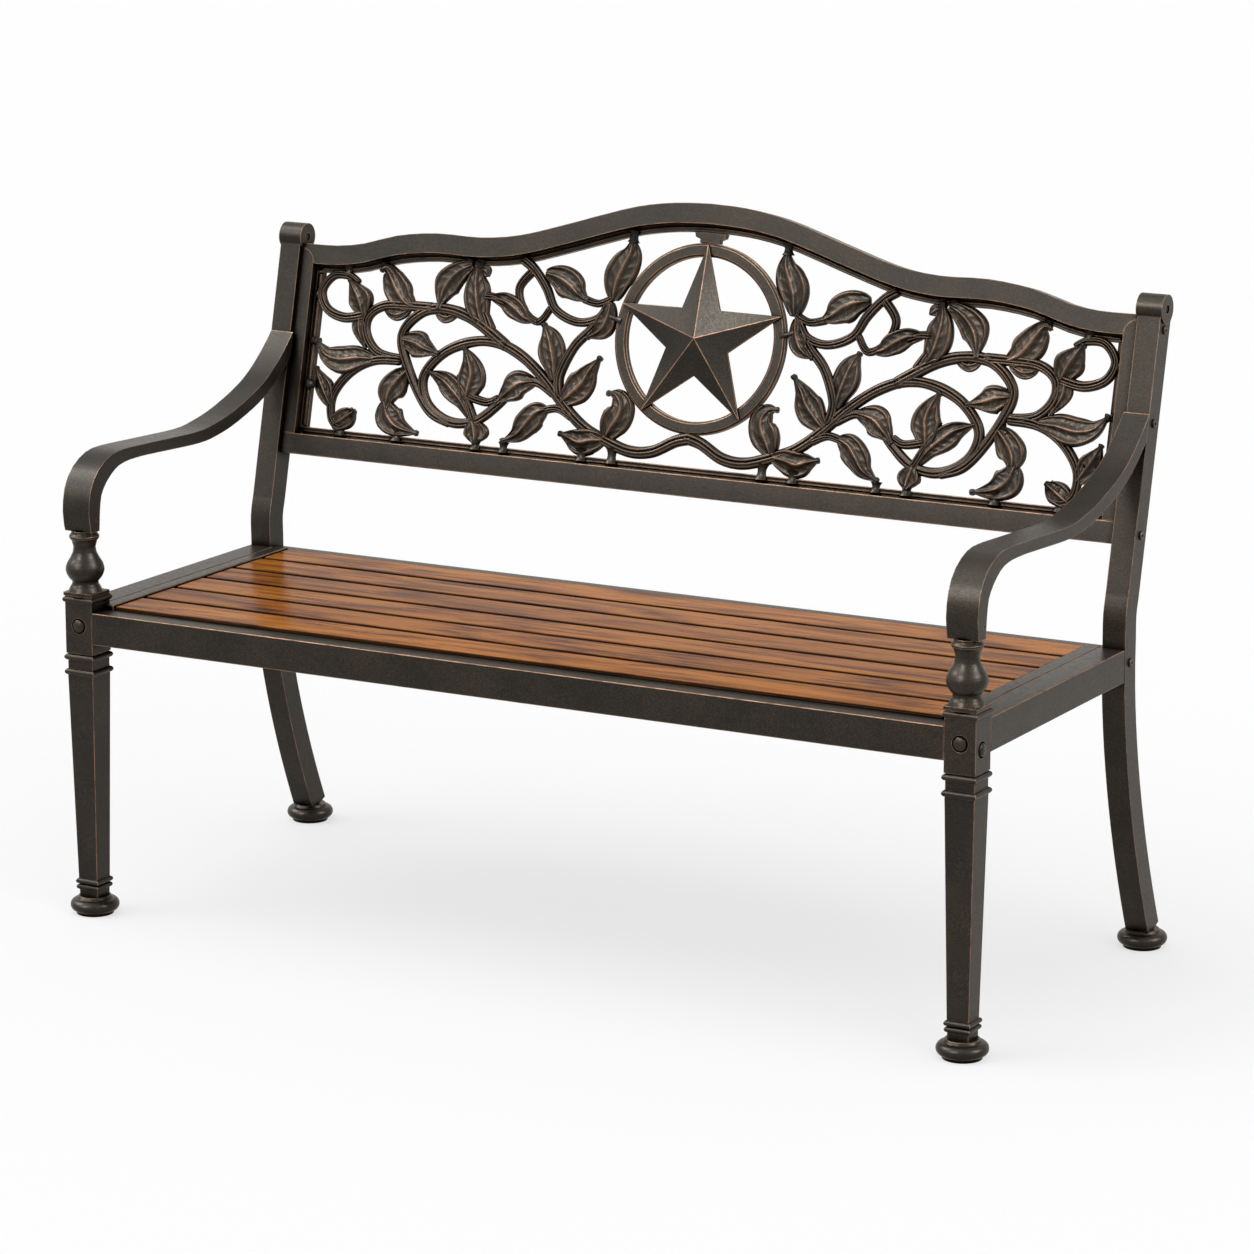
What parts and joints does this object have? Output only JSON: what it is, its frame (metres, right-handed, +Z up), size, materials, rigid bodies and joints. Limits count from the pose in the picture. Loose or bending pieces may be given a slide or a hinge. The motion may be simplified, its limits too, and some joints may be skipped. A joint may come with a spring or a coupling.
{
  "type": "garden bench",
  "caption": "Cast metal garden bench with slatted wooden seat, scrolled arms, and a back panel of vines round a star medallion.",
  "frame": {"origin": "on the floor, at the middle of the four feet's outer box", "axes": "+X along the bench to the right as seen from the front, +Y from the front to the back, +Z up"},
  "size_m": [1.288, 0.573, 0.8851],
  "materials": {
    "bronze_coat": "dark antique bronze powder coat, satin, with rubbed edges",
    "bronzed_steel": "dark bronze coat, satin",
    "plain_steel": "zinc plated",
    "varnished_wood": "orange-brown gloss varnish"
  },
  "bodies": {
    "root": {"front_leg_left": "bronze_coat", "front_leg_right": "bronze_coat", "baluster_left": "bronze_coat", "baluster_right": "bronze_coat", "arm_left": "bronze_coat", "arm_right": "bronze_coat", "rear_post_left": "bronze_coat", "rear_post_right": "bronze_coat", "front_left_foot": "bronze_coat", "front_right_foot": "bronze_coat", "rear_left_foot": "bronze_coat", "rear_right_foot": "bronze_coat", "seat_front_rail": "bronze_coat", "seat_rear_rail": "bronze_coat", "seat_side_rail_left": "bronze_coat", "seat_side_rail_right": "bronze_coat", "slat_ledge_left": "bronze_coat", "slat_ledge_right": "bronze_coat", "slat_1": "varnished_wood", "slat_2": "varnished_wood", "slat_3": "varnished_wood", "slat_4": "varnished_wood", "slat_5": "varnished_wood", "slat_6": "varnished_wood", "seat_bearer_left": "bronze_coat", "seat_bearer_right": "bronze_coat", "back_top_rail": "bronze_coat", "back_bottom_rail": "bronze_coat", "back_stile_left": "bronze_coat", "back_stile_right": "bronze_coat", "scroll_left": "bronze_coat", "scroll_right": "bronze_coat", "medallion_ring": "bronze_coat", "medallion_star": "bronze_coat", "ring_crown": "bronze_coat", "rail_end_blocks": "plain_steel", "leg_front_bolts": "bronzed_steel", "leg_side_bolts": "bronzed_steel", "arm_tie_rods": "plain_steel", "arm_cross_pins": "plain_steel", "arm_bolts": "plain_steel", "panel_screws": "bronzed_steel", "rear_rail_screws": "bronzed_steel", "side_rail_screws": "plain_steel", "ledge_screws": "plain_steel", "slat_screws": "plain_steel", "foot_studs": "plain_steel"}
  },
  "joints": []
}
